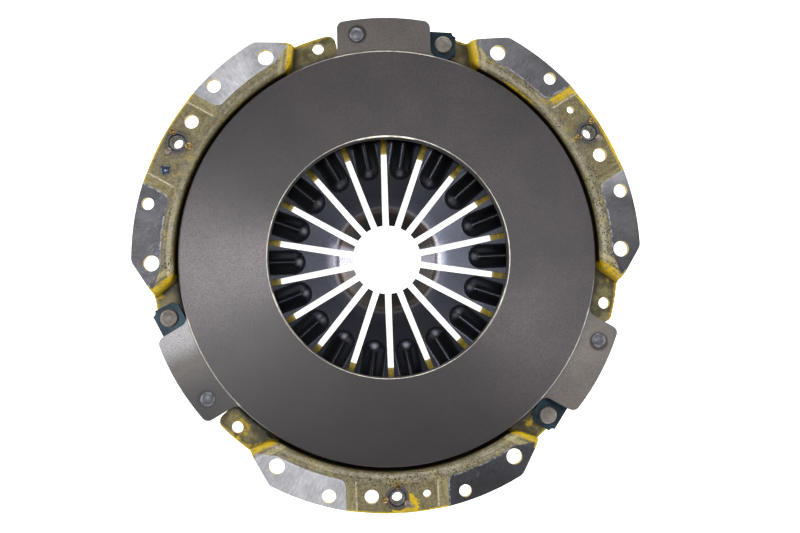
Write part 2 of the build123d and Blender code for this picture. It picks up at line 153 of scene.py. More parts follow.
class Finish:
    """Builds the nodes of one material with short calls."""

    def __init__(self, name):
        self.material = bpy.data.materials.new(name)
        self.material.use_nodes = True
        self.tree = self.material.node_tree
        self.tree.nodes.clear()
        self.shader = self.add("ShaderNodeBsdfPrincipled")
        output = self.add("ShaderNodeOutputMaterial")
        self.tree.links.new(self.shader.outputs[0], output.inputs[0])

    def add(self, kind, **settings):
        """One node with its settings."""
        node = self.tree.nodes.new(kind)
        for key, value in settings.items():
            setattr(node, key, value)
        return node

    def put(self, socket, value):
        """Give a socket a link or a plain value."""
        if isinstance(value, bpy.types.NodeSocket):
            self.tree.links.new(value, socket)
        elif socket.type == "RGBA":
            socket.default_value = (*value[:3], 1.0)
        else:
            socket.default_value = value

    def calc(self, operation, *values):
        """One step of arithmetic."""
        node = self.add("ShaderNodeMath", operation=operation)
        for socket, value in zip(node.inputs, values):
            self.put(socket, value)
        return node.outputs[0]

    def times(self, first, *others):
        for other in others:
            first = self.calc("MULTIPLY", first, other)
        return first

    def plus(self, first, *others):
        for other in others:
            first = self.calc("ADD", first, other)
        return first

    def most(self, first, *others):
        for other in others:
            first = self.calc("MAXIMUM", first, other)
        return first

    def less(self, value):
        return self.calc("SUBTRACT", 1.0, value)

    def rise(self, value, low, high):
        """0 below low, 1 above high and smooth between."""
        node = self.add("ShaderNodeMapRange", interpolation_type="SMOOTHSTEP")
        for index, part in enumerate((value, low, high, 0.0, 1.0)):
            self.put(node.inputs[index], part)
        return node.outputs[0]

    def fall(self, value, low, high):
        """1 below low, 0 above high and smooth between."""
        return self.less(self.rise(value, low, high))

    def spread(self, value, low, high, out_low, out_high):
        """Value carried from one range to another and kept inside it."""
        node = self.add("ShaderNodeMapRange")
        for index, part in enumerate((value, low, high, out_low, out_high)):
            self.put(node.inputs[index], part)
        return node.outputs[0]

    def within(self, value, low, high, edge):
        """1 between low and high, fading out over edge on both sides."""
        return self.times(self.rise(value, low - edge, low), self.fall(value, high, high + edge))

    def paint(self, factor, under, over, mode="MIX"):
        """One colour laid over another by a factor."""
        node = self.add("ShaderNodeMix", data_type="RGBA", blend_type=mode)
        self.put(node.inputs[0], factor)
        self.put(node.inputs[6], under)
        self.put(node.inputs[7], over)
        return node.outputs[2]

    def grain(self, vector, scale, detail=3.0, rough=0.5):
        """Cloudy noise between 0 and 1."""
        node = self.add("ShaderNodeTexNoise")
        for name, value in (("Vector", vector), ("Scale", scale), ("Detail", detail), ("Roughness", rough)):
            self.put(node.inputs[name], value)
        return node.outputs["Fac"]

    def cells(self, vector, scale):
        """Distance to the nearest of many scattered points."""
        node = self.add("ShaderNodeTexVoronoi")
        for name, value in (("Vector", vector), ("Scale", scale)):
            self.put(node.inputs[name], value)
        return node.outputs["Distance"]

    def stretched(self, vector, scale, turn):
        """Vector turned about Z by degrees and then scaled on each axis."""
        turned = self.add("ShaderNodeMapping")
        self.put(turned.inputs["Vector"], vector)
        self.put(turned.inputs["Rotation"], (0.0, 0.0, radians(turn)))
        scaled = self.add("ShaderNodeMapping")
        self.put(scaled.inputs["Vector"], turned.outputs[0])
        self.put(scaled.inputs["Scale"], scale)
        return scaled.outputs[0]

    def bundle(self, x, y, z):
        """Vector from three values."""
        node = self.add("ShaderNodeCombineXYZ")
        for socket, value in zip(node.inputs, (x, y, z)):
            self.put(socket, value)
        return node.outputs[0]

    def ramp(self, value, stops, blend="LINEAR"):
        """Colour along a line of (place, colour) stops."""
        node = self.add("ShaderNodeValToRGB")
        node.color_ramp.interpolation = blend
        marks = node.color_ramp.elements
        while len(marks) < len(stops):
            marks.new(0.5)
        for mark, (place, colour) in zip(marks, stops):
            mark.position = place
            mark.color = (*colour, 1.0)
        self.put(node.inputs[0], value)
        return node.outputs[0]

    def relief(self, height, strength, distance):
        """Surface direction of small bumps."""
        node = self.add("ShaderNodeBump")
        for name, value in (("Height", height), ("Strength", strength), ("Distance", distance)):
            self.put(node.inputs[name], value)
        return node.outputs[0]

    def length(self, first, second):
        """Length of a line from its two parts."""
        return self.calc("SQRT", self.plus(self.times(first, first), self.times(second, second)))

    def place(self):
        """Object coordinates in millimetres, with radius, angle, height and how far a face looks up."""
        coordinates = self.add("ShaderNodeTexCoord")
        scaled = self.add("ShaderNodeVectorMath", operation="SCALE")
        self.put(scaled.inputs[0], coordinates.outputs["Object"])
        scaled.inputs["Scale"].default_value = 1000.0
        self.here = scaled.outputs[0]
        parts = self.add("ShaderNodeSeparateXYZ")
        self.put(parts.inputs[0], self.here)
        self.x, self.y, self.z = parts.outputs
        self.radius = self.length(self.x, self.y)
        self.angle = self.times(self.calc("ARCTAN2", self.y, self.x), 180 / pi)
        facing = self.add("ShaderNodeSeparateXYZ")
        self.put(facing.inputs[0], coordinates.outputs["Normal"])
        self.up = facing.outputs[2]
        self.turn = self.calc("FLOORED_MODULO", self.plus(self.angle, 360.0), 360.0)
        self.along, self.across = self.parts_from(GROUP_ANGLES[0], THIRD)

    def turn_from(self, start, step):
        """Degrees from the nearest of the directions that start at an angle and come back after a step."""
        turned = self.calc("FLOORED_MODULO", self.plus(self.angle, 360.0 + step / 2 - start), step)
        return self.plus(turned, -step / 2)

    def parts_from(self, start, step):
        """Millimetres along and across the nearest of those directions."""
        local = self.times(self.turn_from(start, step), pi / 180)
        across = self.times(self.radius, self.calc("SINE", local))
        return self.times(self.radius, self.calc("COSINE", local)), across

    def by_angle(self, stops, blend="LINEAR"):
        """Grey value round the axis from (degrees, value) stops."""
        marks = [(place / 360, (value, value, value)) for place, value in stops]
        return self.ramp(self.times(self.turn, 1 / 360), marks, blend)

    def near(self, point):
        """Distance in millimetres from an upright axis through a point."""
        return self.length(self.plus(self.x, -point[0] / MM), self.plus(self.y, -point[1] / MM))

    def set(self, **values):
        """Give the shader its sockets, by their names with underscores."""
        for key, value in values.items():
            self.put(self.shader.inputs[key.replace("_", " ").title()], value)
        return self.material


def sizes():
    return bpy.context.scene.clutch_sizes


def colours():
    return bpy.context.scene.clutch_colours


def flat(colour):
    """Red, green and blue of a panel colour."""
    return tuple(colour)[:3]


def cover_finish():
    """Worn yellow coating over pressed steel, with ground pads, pits, streaks and burnt weld places."""
    look, c = Finish("cover_worn_yellow"), colours()
    look.place()
    yellow, khaki, olive = flat(c.yellow), flat(c.khaki), flat(c.olive)
    mottle = look.grain(look.here, 0.11, 6.0, 0.6)
    fine = look.grain(look.here, 1.1, 5.0, 0.65)
    speck = look.grain(look.here, 3.0, 3.0, 0.6)
    wander = look.plus(look.times(fine, 1.4), look.times(mottle, 1.6), -1.5)
    round_way = look.bundle(look.times(look.angle, 0.1), look.times(look.radius, 0.8), look.z)
    round_streaks = look.grain(round_way, 1.0, 4.0, 0.6)
    radial_way = look.bundle(look.times(look.angle, 2.1), look.times(look.radius, 0.1), look.z)
    radial_streaks = look.grain(radial_way, 1.0, 5.0, 0.7)
    turn = look.turn
    aside = look.calc("ABSOLUTE", look.across)

    # Masks by direction and by height, from the recess floors down to the bowl
    lit_up, hidden = look.rise(look.up, 0.05, 0.3), look.fall(look.up, -0.25, 0.1)
    raised, topmost = look.rise(look.z, -2.4, -1.6), look.rise(look.z, -3.0, -1.8)
    upper, bowl = look.rise(look.z, -7.0, -5.0), look.fall(look.z, -27.0, -22.5)

    def wavy(value, share):
        """A measure whose limit wanders."""
        return look.plus(value, look.times(wander, share))

    def beyond(line):
        """Millimetres outside a line of the flange."""
        point, way = line
        return look.plus(look.times(look.plus(look.along, -point[0]), way[0]),
                         look.times(look.plus(aside, -point[1]), way[1]))

    past, outward = beyond(END_WALL), beyond(CUT_CORNER)

    # Shoulders: rubbed pale along the crest with a painted highlight laid over it, and painted shade darker
    # beside it
    patch = look.grain(look.here, 0.3, 6.0, 0.72)
    wall = look.paint(look.rise(round_streaks, 0.38, 0.6), khaki, olive)
    # Painted shade: the shoulder darker on both sides of its crest
    flank_shade = look.less(look.within(wavy(look.radius, 0.9), 131.8, 135.4, 1.4))
    wall = look.paint(look.times(flank_shade, 0.55), wall, tone(112, 103, 75))
    wall = look.paint(look.times(look.rise(patch, 0.46, 0.58), 0.75), wall, tone(110, 102, 77))
    wall = look.paint(look.times(look.fall(patch, 0.36, 0.48), 0.4), wall, tone(168, 162, 136))
    # Painted highlight along the crest, partly rubbed coating
    crest_highlight = look.times(look.within(wavy(look.radius, 0.6), 132.5, 133.9, 0.9),
                      look.rise(fine, 0.4, 0.54), look.by_angle(CREST_HIGHLIGHT_STOPS))
    wall = look.paint(look.times(crest_highlight, 0.75), wall, tone(222, 216, 192))
    wall = look.paint(look.times(look.rise(fine, 0.48, 0.62), 0.6), wall, tone(82, 74, 50))
    gold = look.times(look.rise(look.grain(look.here, 0.16, 4.0, 0.6), 0.5, 0.66), look.less(crest_highlight))
    wall = look.paint(look.times(gold, 0.4), wall, tone(176, 156, 52))

    # Recesses between the pads, with a pale crease at the foot of each ramp
    recess = look.times(look.fall(aside, 24.2, 24.8), look.rise(look.radius, 136.6, 138.6), raised)
    floor = look.paint(look.rise(patch, 0.36, 0.62), tone(110, 100, 64), tone(142, 132, 94))
    floor = look.paint(look.times(look.rise(radial_streaks, 0.42, 0.66), 0.35), floor, tone(150, 140, 100))
    floor = look.paint(look.times(look.rise(mottle, 0.44, 0.62), 0.5), floor, tone(126, 120, 98))
    floor = look.paint(look.times(look.rise(fine, 0.46, 0.6), 0.65), floor, tone(78, 69, 42))
    colour = look.paint(recess, wall, floor)
    slope = look.times(look.within(aside, 25.2, 30.6, 0.5), look.rise(look.radius, 136.6, 138.0), raised,
                       lit_up)
    sloped = look.paint(look.rise(radial_streaks, 0.34, 0.6), tone(122, 112, 66), tone(152, 144, 108))
    browned = look.within(turn, 14.0, 24.0, 1.0)
    brown = look.times(look.within(aside, 26.2, 27.6, 0.7), browned, look.rise(speck, 0.36, 0.56))
    sloped = look.paint(look.times(brown, 0.85), sloped, tone(84, 62, 46))
    colour = look.paint(slope, colour, sloped)
    crease = look.times(look.within(wavy(aside, 0.25), 24.3, 25.0, 0.35),
                        look.rise(look.radius, 135.6, 138.0), raised, look.less(browned),
                        look.rise(fine, 0.34, 0.56))
    colour = look.paint(look.times(crease, 0.85), colour, tone(214, 204, 172))

    # Yellow coating that is left on edges, flange ends, ears, hole walls and the hidden side
    edge = look.plus(wavy(look.radius, 0.9), look.times(speck, 1.2),
                     look.times(look.within(turn, 20.0, 40.0, 5.0), 0.9))
    rim = look.times(look.rise(edge, 154.3, 154.9), look.rise(look.z, -4.5, -3.0))
    heap = look.times(look.fall(look.plus(look.near(polar(150.6, 273.6)), look.times(fine, 9.0)), 12.2, 13.0),
                      look.rise(look.near(polar(NUT_RADIUS, GROUP_ANGLES[2])), 6.2, 6.8),
                      look.rise(look.z, -4.0, -3.0))
    chamfer = look.times(look.rise(wavy(outward, 0.8), -0.9, -0.2), look.rise(aside, 70.0, 76.0),
                         look.rise(look.grain(look.here, 0.12, 2.0), 0.44, 0.52))
    side = look.times(look.fall(look.calc("ABSOLUTE", look.up), 0.35, 0.6),
                      look.rise(look.radius, 137.6, 138.4), look.rise(look.z, -4.6, -4.3))
    end = look.times(look.rise(wavy(past, 2.2), 1.4, 3.4), look.fall(past, 5.3, 5.9),
                     look.rise(look.z, -21.0, -19.0))
    band = look.times(look.within(wavy(aside, 0.4), 26.0, 29.6, 0.6),
                      look.within(turn, 41.0, 50.0, 1.0), look.rise(look.radius, 138.0, 140.0))
    # Painted highlight, cream, along the crest of each flange end
    end_crest_highlight = look.times(look.within(wavy(past, 1.2), -1.6, 0.6, 0.7), upper, look.rise(fine, 0.34, 0.5))
    colour = look.paint(look.times(end_crest_highlight, 0.55), colour, tone(206, 194, 146))
    streak = look.times(look.within(wavy(turn, 4.0), 48.0, 55.0, 2.0),
                        look.fall(wavy(look.radius, 0.4), 131.0, 131.5),
                        look.rise(look.z, -9.0, -8.0))
    kept = look.most(rim, streak, heap, chamfer, side, end, band, hidden, bowl)
    rub = look.times(look.rise(look.grain(look.here, 0.2, 5.0, 0.68), 0.52, 0.66),
                     look.less(look.most(side, look.times(hidden, 0.6))))
    coat = look.paint(look.rise(mottle, 0.3, 0.7), yellow, tone(200, 168, 20))
    coat = look.paint(look.times(look.rise(fine, 0.5, 0.7), 0.35), coat, tone(150, 126, 34))
    coat = look.paint(look.times(side, 0.5), coat, tone(196, 184, 112))
    coat = look.paint(look.times(bowl, 0.5), coat, tone(140, 122, 16))
    colour = look.paint(look.times(kept, look.less(look.times(rub, 0.8))), colour, coat)

    # Ears: olive and tan, yellow along the rim, with painted shade at the foot of the end wall and towards
    # the plate, and painted shade, black, down in the gap
    ear = look.times(look.fall(look.z, -20.8, -18.5), look.less(bowl), lit_up)
    tan = look.paint(look.rise(mottle, 0.4, 0.6), tone(92, 84, 44), tone(146, 137, 92))
    tan = look.paint(look.times(look.rise(fine, 0.48, 0.7), 0.4), tan, tone(70, 62, 34))
    left = look.most(look.rise(wavy(look.radius, 3.0), 144.2, 146.4),
                     look.rise(look.grain(look.here, 0.085, 4.0, 0.55), 0.6, 0.67),
                     look.times(look.fall(past, 7.0, 9.0), look.rise(mottle, 0.54, 0.62)))
    # Painted shade, darker at the foot of the flange end wall
    end_wall_foot_shade = look.fall(wavy(past, 2.0), 7.0, 12.0)
    tan = look.paint(look.times(end_wall_foot_shade, 0.6), tan, tone(58, 52, 24))
    tan = look.paint(look.times(left, look.less(look.times(rub, 0.7))), tan, coat)
    # Painted shade, darker towards the plate
    shade = look.fall(wavy(look.radius, 1.5), 131.0, 137.0)
    tan = look.paint(look.times(shade, 0.85), tan, tone(34, 30, 16))
    colour = look.paint(ear, colour, tan)
    # Painted shade, black down in the gap, reaching higher up on the +x side
    lean = look.calc("DIVIDE", look.times(look.x, -2.5), look.radius)
    gap_shade = look.times(look.fall(look.plus(look.z, lean), -10.4, -8.6), look.fall(look.radius, 131.0, 131.6),
                     look.rise(look.z, -24.0, -21.0))
    colour = look.paint(look.times(gap_shade, 0.92), colour, tone(16, 15, 14))

    # Pits, thick on some stretches of the shoulders
    cluster = look.grain(look.here, 0.09, 2.0, 0.5)
    thick = look.rise(look.plus(look.times(look.by_angle(PIT_STOPS), 0.5), cluster), 0.66, 0.82)
    dots = look.fall(look.plus(look.cells(look.here, 0.55), look.times(speck, 0.6)), 0.54, 0.62)
    outer = look.plus(look.radius, look.times(look.less(recess), -1.2))
    where = look.times(upper, look.rise(look.radius, 129.0, 131.0), lit_up, look.fall(outer, 137.6, 142.0))
    pits = look.times(dots, thick, where)
    colour = look.paint(look.times(pits, 0.92), colour, tone(30, 26, 20))

    # Burnt places round the weld nuts, wider at the first two, with grey scale next to each nut
    burnt = scaled = 0.0
    for angle in GROUP_ANGLES:
        around = look.near(polar(NUT_RADIUS, angle))
        reach = wavy(around, 1.6)
        spot = look.fall(reach, 6.8, 7.6)
        if angle != GROUP_ANGLES[2]:
            spot = look.most(spot, look.times(look.fall(reach, 7.0, 11.5), 0.4))
        burnt = look.most(burnt, spot)
        scaled = look.most(scaled, look.fall(wavy(around, 0.3), 6.5, 6.9))
    colour = look.paint(look.times(burnt, topmost, 0.85), colour, tone(46, 38, 32))
    scale_grey = look.paint(fine, tone(66, 64, 70), tone(98, 96, 103))
    colour = look.paint(look.times(scaled, topmost, lit_up, 0.9), colour, scale_grey)

    # Dark grit all over
    grit = look.ramp(look.grain(look.here, 0.8, 6.0, 0.8),
                     [(0.4, (0.56, 0.55, 0.54)), (0.5, (0.95, 0.95, 0.95)), (0.6, (1.0, 1.0, 1.0))])
    colour = look.paint(0.9, colour, grit, "MULTIPLY")

    # Ground pads, with round corners, which differ in polish, in painted reflection and in the run of their
    # scratches, with a painted highlight along their rims
    tip = look.times(look.rise(aside, 71.0, 75.0), look.fall(outward, -1.6, -1.0))
    corner = look.length(look.most(look.plus(look.times(aside, -1.0), 34.4), 0.0),
                         look.most(look.plus(look.times(look.radius, -1.0), 140.8), 0.0))
    inner_line = look.plus(look.along, look.times(look.plus(aside, -72.0), 0.15))
    pad = look.times(look.fall(wavy(corner, 0.25), 3.3, 3.7),
                     look.rise(wavy(inner_line, 0.3), 117.2, 117.7),
                     look.rise(look.plus(look.z, look.times(tip, 1.2)), -0.07, -0.03),
                     look.rise(look.plus(look.up, look.times(tip, 0.4)), 0.9, 0.97))
    greys = [(place / 360, tone(value, value, value + 5)) for place, value in PAD_POLISH_AND_REFLECTION_STOPS]
    # Pad greys round the axis: real polish together with painted reflection
    polish_and_reflection = look.ramp(look.times(turn, 1 / 360), greys)
    brushed = look.grain(look.bundle(look.times(look.angle, 3.4), look.times(look.radius, 0.14), 0.0),
                         1.0, 4.0, 0.7)
    scored = look.grain(look.stretched(look.here, (0.16, 3.0, 1.0), -52.0), 1.0, 4.0, 0.7)
    drift = look.grain(look.here, 0.07, 3.0, 0.6)
    marks = look.plus(look.times(brushed, 0.3), look.times(scored, 0.35), look.times(drift, 0.35))
    contrast = look.ramp(marks, [(0.37, (0.5, 0.5, 0.52)), (0.5, (1.0, 1.0, 1.0)), (0.62, (1.5, 1.5, 1.55))])
    bare = look.paint(1.0, polish_and_reflection, contrast, "MULTIPLY")
    cuts = look.times(look.rise(scored, 0.57, 0.64), look.most(look.within(turn, 160.0, 190.0, 2.0), 0.3),
                      look.fall(look.radius, 143.0, 150.0), look.rise(patch, 0.44, 0.56))
    bare = look.paint(look.times(cuts, 0.7), bare, tone(190, 190, 198))
    # Painted highlight along the rounded rim of each pad
    pad_rim_highlight = look.times(look.within(corner, 2.8, 3.6, 0.3), look.rise(patch, 0.46, 0.56))
    bare = look.paint(look.times(pad_rim_highlight, 0.45), bare, tone(206, 206, 216))
    colour = look.paint(pad, colour, bare)

    smooth = look.spread(marks, 0.3, 0.7, 0.48, 0.3)
    rough = look.spread(fine, 0.3, 0.7, 0.32, 0.56)
    rough = look.plus(look.times(rough, look.less(pad)), look.times(smooth, pad))
    metal = look.plus(look.times(pad, 0.35), look.times(look.less(pad), 0.1))
    height = look.plus(look.times(fine, 0.3), look.times(look.grain(look.here, 0.5, 3.0), 0.3),
                       look.times(pits, -1.6))
    height = look.plus(look.times(height, look.less(pad)), look.times(marks, pad, 0.25))
    normal = look.relief(height, 0.4, 0.0004)
    return look.set(base_color=colour, metallic=metal, roughness=rough, normal=normal)


def plate_finish():
    """Ground grey iron on the friction face with painted reflection sectors, painted light and shade on the
    lugs and painted shadow rings round their rivets, bright worn bevels and rough cast sides.
    """
    look = Finish("plate_ground_iron")
    look.place()
    cloud = look.grain(look.here, 0.03, 4.0, 0.55)
    fine = look.grain(look.here, 1.9, 4.0, 0.8)
    rings = look.grain(look.bundle(look.times(look.radius, 1.6), look.times(look.angle, 0.03), 0.0),
                       1.0, 3.0, 0.6)
    face = look.paint(look.rise(cloud, 0.3, 0.7), flat(colours().iron), tone(88, 82, 84))
    lug = look.rise(look.radius, 127.6, 129.2)
    warm = look.paint(look.rise(cloud, 0.35, 0.65), tone(112, 106, 102), tone(128, 121, 115))
    face = look.paint(look.times(lug, 0.85), face, warm)
    # Painted reflection: the face lighter and darker in sectors round the axis
    reflection_sector = look.by_angle(FACE_REFLECTION_STOPS, "B_SPLINE")
    face = look.paint(1.0, face, look.times(reflection_sector, 1.7), "MULTIPLY")
    # Painted shade over the lugs from about 217 to 232 degrees
    shaded_lug = look.times(lug, look.within(look.turn, 217.0, 232.0, 9.0))
    face = look.paint(look.times(shaded_lug, 0.75), face, tone(50, 48, 49))
    # Painted highlight over the lugs from about 190 to 201.5 degrees
    lit_lug = look.times(lug, look.within(look.turn, 190.0, 201.5, 7.0))
    face = look.paint(look.times(lit_lug, 0.8), face, tone(168, 167, 170))
    face = look.paint(look.times(look.rise(fine, 0.44, 0.6), 0.6), face, tone(48, 44, 47))
    for turn in PACK_TURNS:    # a dark ring round each lug rivet, a little off its middle
        # Painted shadow of the rivet head on the lug
        ring = look.fall(look.near(polar(139.7, 98.1 + turn)), 5.0, 6.4)
        face = look.paint(look.times(ring, 0.75), face, tone(38, 36, 37))
    cast = look.paint(look.rise(fine, 0.35, 0.7), tone(40, 38, 39), tone(62, 59, 58))
    top = look.times(look.rise(look.up, 0.3, 0.5), look.rise(look.z, -6.2, -5.9))
    colour = look.paint(top, cast, face)
    bevel = look.times(look.within(look.up, 0.35, 0.93, 0.06), look.rise(look.z, -5.6, -5.3))
    by_lug = look.fall(look.calc("ABSOLUTE", look.turn_from(LUG_MIDDLE, THIRD)), 12.5, 15.0)
    shown = look.most(look.within(look.radius, 74.5, 90.0, 0.2), by_lug)
    worn = look.times(bevel, look.spread(look.grain(look.here, 0.3, 4.0), 0.3, 0.6, 0.5, 1.0), shown)
    brim = look.times(bevel, look.rise(look.radius, 120.0, 121.0))
    colour = look.paint(look.times(brim, 0.5), colour, tone(112, 107, 109))
    colour = look.paint(worn, colour, tone(226, 218, 206))
    below = look.less(top)
    rough = look.plus(look.times(top, look.spread(fine, 0.3, 0.7, 0.27, 0.35)), look.times(below, 0.7))
    metal = look.plus(look.times(top, 0.25), look.times(worn, 0.4), 0.05)
    height = look.plus(look.times(top, rings, 0.25), look.times(fine, 0.75), look.times(below, fine, 2.0))
    normal = look.relief(height, 0.22, 0.0003)
    return look.set(base_color=colour, metallic=metal, roughness=rough, normal=normal)


def spring_finish():
    """Dark polished spring steel with heat tints at the finger tips, painted highlights on a ring, on the rib
    ends and on the left and right tips, painted shade on the ribs, and soft feet along the ribs.
    """
    look = Finish("spring_graphite")
    look.place()
    cloud = look.grain(look.here, 0.05, 4.0, 0.6)
    fine = look.grain(look.here, 0.9, 3.0, 0.5)
    # Heat tints by radius, with a painted highlight ring near 35 mm
    tints_and_highlight_ring = look.ramp(look.times(look.plus(look.radius, look.times(cloud, 3.0)), 1 / 120),
                      [(0.18, tone(44, 44, 48)), (0.235, tone(50, 48, 48)), (0.25, tone(60, 53, 48)),
                       (0.285, tone(58, 53, 51)), (0.296, tone(96, 94, 97)), (0.308, tone(56, 58, 66)),
                       (0.36, tone(44, 46, 53)), (0.6, tone(42, 44, 50)), (1.0, tone(42, 43, 48))])
    colour = look.paint(look.times(look.rise(fine, 0.4, 0.75), 0.15), tints_and_highlight_ring, tone(32, 33, 37))

    # Reach is the distance from a rib's middle line, which ends in a ball at the rib's inner end
    forward, off = look.parts_from(FIRST_FINGER, FINGER_STEP)
    run = look.plus(forward, -RIB_START)
    reach = look.length(off, look.calc("MINIMUM", run, 0.0))
    # Painted shade darkening each rib from about 46 mm outwards
    colour = look.paint(look.times(look.fall(reach, 4.0, 8.0), look.rise(look.radius, 46.0, 50.0), 0.6),
                        colour, tone(24, 24, 28))
    # Painted highlight on each rib's ball end
    ball_highlight = look.length(off, look.plus(run, 3.4))
    colour = look.paint(look.times(look.fall(ball_highlight, 0.2, 3.6), 0.45), colour, tone(150, 150, 160))

    # The bump adds a wide swell and takes the rib's own round crest away, so that only the foot is softened
    close = look.calc("MINIMUM", reach, 5.5)
    arc = look.calc("SQRT", look.plus(look.times(close, close, -1.0), 7.3 ** 2))
    crest = look.most(look.plus(arc, -4.8), 0.0)
    swell = look.times(look.fall(reach, 0.0, 8.2), 2.5)
    blend = look.times(look.plus(swell, look.times(crest, -1.0)), look.rise(look.up, 0.0, 0.3))

    # Painted reflection: brighter tips on the left and on the right
    reflecting_sides = look.most(look.within(look.turn, -1.0, 12.0, 9.0), look.within(look.turn, 168.0, 190.0, 8.0),
                      look.within(look.turn, 352.0, 361.0, 5.0))
    sheen = look.times(reflecting_sides, look.within(look.radius, 19.0, 33.0, 7.0))
    colour = look.paint(look.times(sheen, 0.6), colour, tone(124, 122, 134))
    side = look.fall(look.calc("ABSOLUTE", look.up), 0.5, 0.75)
    colour = look.paint(look.times(side, 0.6), colour, tone(62, 66, 96))
    rough = look.spread(fine, 0.3, 0.7, 0.24, 0.27)
    normal = look.relief(blend, 1.0, 0.001)
    return look.set(base_color=colour, metallic=0.92, roughness=rough, normal=normal)


def strap_finish():
    """Blued strap steel, mottled and finely grained."""
    look = Finish("strap_blued")
    look.place()
    cloud = look.grain(look.here, 0.09, 4.0, 0.6)
    fine = look.grain(look.here, 1.8, 4.0, 0.7)
    colour = look.paint(look.rise(cloud, 0.35, 0.68), tone(28, 42, 54), tone(48, 68, 80))
    colour = look.paint(look.times(look.rise(fine, 0.5, 0.75), 0.4), colour, tone(18, 26, 34))
    rough = look.spread(fine, 0.3, 0.7, 0.3, 0.46)
    normal = look.relief(fine, 0.2, 0.0002)
    return look.set(base_color=colour, metallic=0.6, roughness=rough, normal=normal)


def steel_finish(name, dark, light, metallic, low_rough, high_rough):
    """Plain steel for small pieces, mottled between two tones."""
    look = Finish(name)
    look.place()
    cloud = look.grain(look.here, 0.35, 4.0, 0.6)
    fine = look.grain(look.here, 2.2, 4.0, 0.7)
    colour = look.paint(look.rise(cloud, 0.35, 0.65), dark, light)
    colour = look.paint(look.times(look.rise(fine, 0.5, 0.72), 0.3), colour, tuple(0.5 * v for v in dark))
    rough = look.spread(fine, 0.3, 0.7, low_rough, high_rough)
    normal = look.relief(look.plus(fine, cloud), 0.12, 0.0002)
    return look.set(base_color=colour, metallic=metallic, roughness=rough, normal=normal)


def dress(piece, material):
    """Give a piece one material and smooth shading."""
    piece.data.materials.clear()
    piece.data.materials.append(material)
    for face in piece.data.polygons:
        face.use_smooth = True


def new_piece(name, shape, material):
    """Turn a bmesh into an object with its finish."""
    bmesh.ops.remove_doubles(shape, verts=shape.verts, dist=JOIN)
    bmesh.ops.recalc_face_normals(shape, faces=shape.faces)
    mesh = bpy.data.meshes.new(name)
    shape.to_mesh(mesh)
    shape.free()
    piece = bpy.data.objects.new(name, mesh)
    bpy.context.scene.collection.objects.link(piece)
    dress(piece, material)
    return piece


def turned(outline, steps=56, soften=0.0):
    """A closed solid spun about Z from radius and height pairs in millimetres, with its rims softened."""
    shape = bmesh.new()
    line = [shape.verts.new((radius * MM, 0.0, height * MM)) for radius, height in outline]
    edges = [shape.edges.new(pair) for pair in zip(line, line[1:])]
    bmesh.ops.spin(shape, geom=line + edges, cent=(0, 0, 0), axis=(0, 0, 1), angle=2 * pi, steps=steps,
                   use_merge=True, use_normal_flip=False, use_duplicate=False)
    bmesh.ops.remove_doubles(shape, verts=shape.verts, dist=FINE_JOIN)
    bmesh.ops.recalc_face_normals(shape, faces=shape.faces)
    if soften:
        rims = [edge for edge in shape.edges
                if len(edge.link_faces) == 2 and edge.calc_face_angle() > radians(25.0)
                and abs(edge.verts[0].co.z - edge.verts[1].co.z) < FINE_JOIN]
        bmesh.ops.bevel(shape, geom=rims, offset=soften * MM, offset_type="OFFSET", segments=3, profile=0.5,
                        affect="EDGES", clamp_overlap=True)
    return shape


def merged_with(shape, other, matrix):
    """Add another shape to this one, moved by a matrix."""
    mesh = bpy.data.meshes.new("spare")
    other.to_mesh(mesh)
    mesh.transform(matrix)
    shape.from_mesh(mesh)
    bpy.data.meshes.remove(mesh)


def placed_copies(one, places):
    """One shape with a copy of another at each place."""
    shape = bmesh.new()
    for place in places:
        merged_with(shape, one, place)
    one.free()
    return shape


def upright_at(radius, angle):
    """Matrix that moves a shape out from the axis and turns it to face outwards."""
    return Matrix.Translation(polar(radius, angle)) @ Matrix.Rotation(radians(angle), 4, "Z")


def in_each_pack(place):
    """Matrices for a place of the first strap pack in all three packs."""
    return [upright_at(place[0], place[1] + turn) for turn in PACK_TURNS]


def rivet_outline(head, shank, front, back, tail):
    """Outline of a rivet: its head, a shank between two heights, and its tail."""
    return [*head, (head[-1][0], front), (shank, front), (shank, back), (tail[0][0], back), *tail]


def rivet_piece(name, outline, places, material, soften=0.0):
    """One piece from copies of a turned rivet."""
    shape = placed_copies(turned(outline, soften=soften), places)
    return new_piece(name, shape, material)


def ends(node):
    """Top and bottom of a node's box, in millimetres."""
    low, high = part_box(node)
    return high.z / MM, low.z / MM


class ClutchSizes(bpy.types.PropertyGroup):
    lug_head: FloatProperty(name="Lug rivet head", description="Radius of the domed heads on the lugs",
                            default=4.35 * MM, unit="LENGTH")
    strap_head: FloatProperty(name="Strap rivet head", description="Radius of the flat heads on the ears",
                              default=5.5 * MM, unit="LENGTH")
    bead: FloatProperty(name="Weld bead", description="Radius of the beads that hold the weld nuts",
                        default=2.3 * MM, unit="LENGTH")
    strap_step: FloatProperty(name="Strap division", description="Length of the bands that let a strap bend",
                              default=2.0 * MM, unit="LENGTH")
    thread_turns: IntProperty(name="Thread ridges", description="Ridges in each weld nut", default=5, min=3)


class ClutchColours(bpy.types.PropertyGroup):
    yellow: FloatVectorProperty(name="Yellow coating", description="Coating where it is not worn",
                                subtype="COLOR", default=tone(232, 196, 14), min=0.0, max=1.0)
    khaki: FloatVectorProperty(name="Worn coating", description="Coating rubbed thin on the shoulders",
                               subtype="COLOR", default=tone(158, 151, 124), min=0.0, max=1.0)
    olive: FloatVectorProperty(name="Dirty coating", description="Coating under grime",
                               subtype="COLOR", default=tone(118, 109, 79), min=0.0, max=1.0)
    iron: FloatVectorProperty(name="Friction face", description="Ground iron of the plate",
                              subtype="COLOR", default=tone(80, 76, 78), min=0.0, max=1.0)


